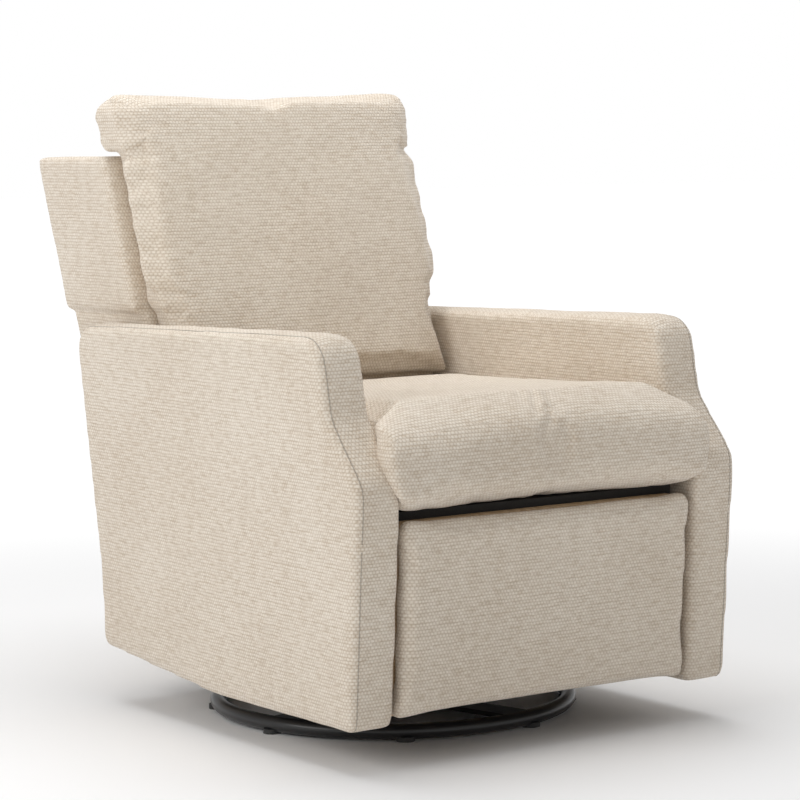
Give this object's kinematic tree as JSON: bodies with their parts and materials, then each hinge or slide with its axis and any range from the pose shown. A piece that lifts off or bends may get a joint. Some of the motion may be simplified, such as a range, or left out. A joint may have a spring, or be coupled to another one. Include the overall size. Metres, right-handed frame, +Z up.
{
  "type": "glider nursery chair",
  "caption": "Upholstered swivel glider recliner: a padded chair body on a round ring base that turns, glides, leans back and opens a footrest.",
  "frame": {"origin": "where the swivel axis meets the floor", "axes": "+Z up along the swivel axis, the chair faces -Y, +X to the sitter's left"},
  "size_m": [0.74, 1.1201, 1.026],
  "materials": {
    "ring_enamel": "satin",
    "pad_plastic": "matte",
    "zinc_steel": "satin",
    "cage_plastic": "matte",
    "mechanism_enamel": "satin",
    "bumper_rubber": "matte",
    "spring_steel": "satin",
    "frame_wood": "matte",
    "deck_felt": "matte",
    "cream_fabric": "matte"
  },
  "bodies": {
    "base": {"base_ring": "ring_enamel", "cross_bar_long": "ring_enamel", "cross_bar_halves": "ring_enamel", "floor_pads": "pad_plastic", "bearing_lower_plate": "zinc_steel", "swivel_bolt": "zinc_steel", "swivel_nut": "zinc_steel"},
    "bearing": {"bearing_cage": "cage_plastic", "bearing_balls": "zinc_steel"},
    "turntable": {"bearing_upper_plate": "zinc_steel", "stand_crossmembers": "mechanism_enamel", "stand_uprights": "mechanism_enamel", "upper_glide_pins": "zinc_steel", "glide_bumpers": "bumper_rubber"},
    "front_links": {"front_glide_links": "mechanism_enamel", "front_link_pins": "zinc_steel"},
    "rear_links": {"rear_glide_links": "mechanism_enamel", "rear_link_pins": "zinc_steel"},
    "seat": {"carriage_rails": "mechanism_enamel", "front_stretcher": "frame_wood", "rear_stretcher": "frame_wood", "side_plate_left": "mechanism_enamel", "side_plate_right": "mechanism_enamel", "seat_side_rails": "frame_wood", "seat_front_rail": "frame_wood", "seat_rear_rail": "frame_wood", "side_plate_bolts": "zinc_steel", "seat_springs": "spring_steel", "seat_deck": "deck_felt", "arm_frame_left": "frame_wood", "arm_frame_right": "frame_wood", "arm_edge_pad_left": "cream_fabric", "arm_edge_pad_right": "cream_fabric", "arm_inner_pad_left": "cream_fabric", "arm_inner_pad_right": "cream_fabric", "arm_outer_pad_left": "cream_fabric", "arm_outer_pad_right": "cream_fabric", "seat_cushion": "cream_fabric"},
    "back": {"back_side_board_left": "frame_wood", "back_side_board_right": "frame_wood", "back_side_pad_left": "cream_fabric", "back_side_pad_right": "cream_fabric", "back_bottom_rail": "frame_wood", "back_lumbar_rail": "frame_wood", "back_top_rail": "frame_wood", "back_top_pad": "cream_fabric", "back_outer_panel": "cream_fabric", "back_springs": "spring_steel", "back_hinge_brackets": "mechanism_enamel", "recline_pins": "zinc_steel", "back_pillow": "cream_fabric"},
    "footrest_drive": {"footrest_drive_tube": "mechanism_enamel", "lower_footrest_links": "mechanism_enamel", "drive_stubs": "zinc_steel"},
    "footrest_upper": {"upper_footrest_links": "mechanism_enamel", "footrest_link_pins": "zinc_steel", "footrest_tie_rod": "mechanism_enamel"},
    "footrest": {"footrest_pad": "cream_fabric", "footrest_board": "frame_wood", "footrest_lugs": "mechanism_enamel"}
  },
  "joints": [
    {"name": "swivel", "type": "hinge", "parent": "base", "child": "turntable", "pos_m": [0, 0, 0.0308], "axis": [0, 0, 1], "continuous": true},
    {"name": "bearing_roll", "type": "hinge", "parent": "base", "child": "bearing", "pos_m": [0, 0, 0.0308], "axis": [0, 0, 1], "continuous": true},
    {"name": "glide", "type": "hinge", "parent": "turntable", "child": "front_links", "pos_m": [0, -0.11, 0.235], "axis": [1, 0, 0], "range_deg": [-15, 15]},
    {"name": "rear_link_swing", "type": "hinge", "parent": "turntable", "child": "rear_links", "pos_m": [0, 0.11, 0.235], "axis": [1, 0, 0], "range_deg": [-15, 15]},
    {"name": "seat_level", "type": "hinge", "parent": "front_links", "child": "seat", "pos_m": [0, -0.11, 0.095], "axis": [1, 0, 0], "range_deg": [-15, 15]},
    {"name": "recline", "type": "hinge", "parent": "seat", "child": "back", "pos_m": [0, 0.25, 0.33], "axis": [-1, 0, 0], "range_deg": [0, 25]},
    {"name": "footrest_open", "type": "hinge", "parent": "seat", "child": "footrest_drive", "pos_m": [0, -0.3, 0.28], "axis": [-1, 0, 0], "range_deg": [0, 105.08]},
    {"name": "footrest_elbow", "type": "hinge", "parent": "footrest_drive", "child": "footrest_upper", "pos_m": [0, -0.26167, 0.09391], "axis": [-1, 0, 0], "range_deg": [-131, 0]},
    {"name": "footrest_tilt", "type": "hinge", "parent": "footrest_upper", "child": "footrest", "pos_m": [0, -0.37, 0.25], "axis": [-1, 0, 0], "range_deg": [0, 111.92]}
  ],
  "couplings": [
    {"joint": "bearing_roll", "follows": "swivel", "ratio": 0.5},
    {"joint": "rear_link_swing", "follows": "glide", "ratio": 1},
    {"joint": "seat_level", "follows": "glide", "ratio": -1},
    {"joint": "footrest_elbow", "follows": "footrest_open", "ratio": -1.2448},
    {"joint": "footrest_tilt", "follows": "footrest_open", "ratio": 1.0633}
  ]
}
